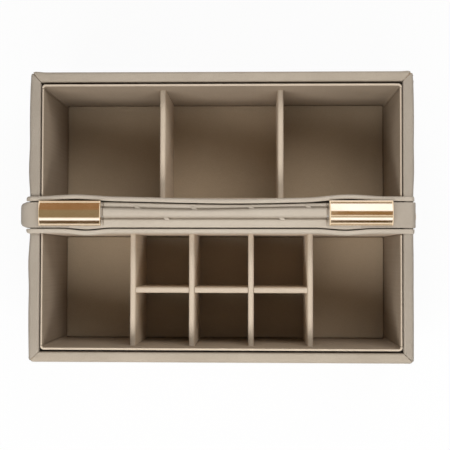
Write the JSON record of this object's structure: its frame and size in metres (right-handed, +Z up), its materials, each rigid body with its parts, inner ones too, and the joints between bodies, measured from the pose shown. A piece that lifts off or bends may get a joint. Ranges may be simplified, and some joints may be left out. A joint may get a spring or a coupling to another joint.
{
  "type": "makeup organizer",
  "caption": "Open leatherette-wrapped vanity caddy: wide bays and a grid of small slots either side of a strap handle with gold ferrules that lifts from a central recess.",
  "frame": {"origin": "middle of the underside, where the felt meets the table, in the middle of the overall length and depth", "axes": "+X along the handle to the right as seen from the front, +Y to the rear where the three wide bays are, +Z up and the way the handle lifts"},
  "size_m": [0.2738, 0.2, 0.1064],
  "materials": {
    "cover_leatherette": "taupe cross-grained leatherette, satin",
    "strap_leatherette": "smooth taupe leatherette, satin",
    "lining_suede": "brushed microfibre",
    "wall_board": "raw fibreboard",
    "divider_card": "raw greyboard",
    "base_felt": "pressed felt",
    "polished_gold": "polished, pale gold",
    "zinc_steel": "zinc plated"
  },
  "bodies": {
    "case": {"front_wall_cover": "cover_leatherette", "rear_wall_cover": "cover_leatherette", "left_wall_cover": "cover_leatherette", "right_wall_cover": "cover_leatherette", "front_wall_board": "wall_board", "rear_wall_board": "wall_board", "left_wall_board": "wall_board", "right_wall_board": "wall_board", "base_board": "wall_board", "base_filler": "wall_board", "base_felt": "base_felt", "rear_liner_back": "lining_suede", "rear_liner_left": "lining_suede", "rear_liner_right": "lining_suede", "front_liner_front": "lining_suede", "front_liner_left": "lining_suede", "front_liner_right": "lining_suede", "rear_floor_pad": "lining_suede", "front_floor_pad": "lining_suede", "spine_rear_wall": "lining_suede", "spine_front_wall": "lining_suede", "handle_bed": "lining_suede", "rear_divider_left_wrap": "lining_suede", "rear_divider_left_board": "divider_card", "rear_divider_right_wrap": "lining_suede", "rear_divider_right_board": "divider_card", "front_divider_outer_left_wrap": "lining_suede", "front_divider_outer_left_board": "divider_card", "front_divider_inner_left_wrap": "lining_suede", "front_divider_inner_left_board": "divider_card", "front_divider_inner_right_wrap": "lining_suede", "front_divider_inner_right_board": "divider_card", "front_divider_outer_right_wrap": "lining_suede", "front_divider_outer_right_board": "divider_card", "cross_divider_wrap": "lining_suede", "cross_divider_board": "divider_card", "spine_rear_band": "strap_leatherette", "spine_front_band": "strap_leatherette", "left_strap_studs": "polished_gold", "right_strap_studs": "polished_gold", "left_stud_plate": "zinc_steel", "right_stud_plate": "zinc_steel"},
    "handle": {"left_strap": "strap_leatherette", "right_strap": "strap_leatherette", "grip_strap": "strap_leatherette", "grip_roll": "strap_leatherette", "handle_core": "zinc_steel", "left_ferrule": "polished_gold", "right_ferrule": "polished_gold", "ferrule_rivets": "polished_gold"}
  },
  "joints": [
    {"name": "handle_lift", "type": "slide", "parent": "case", "child": "handle", "axis": [0, 0, 1], "range_m": [0, 0.045]}
  ]
}
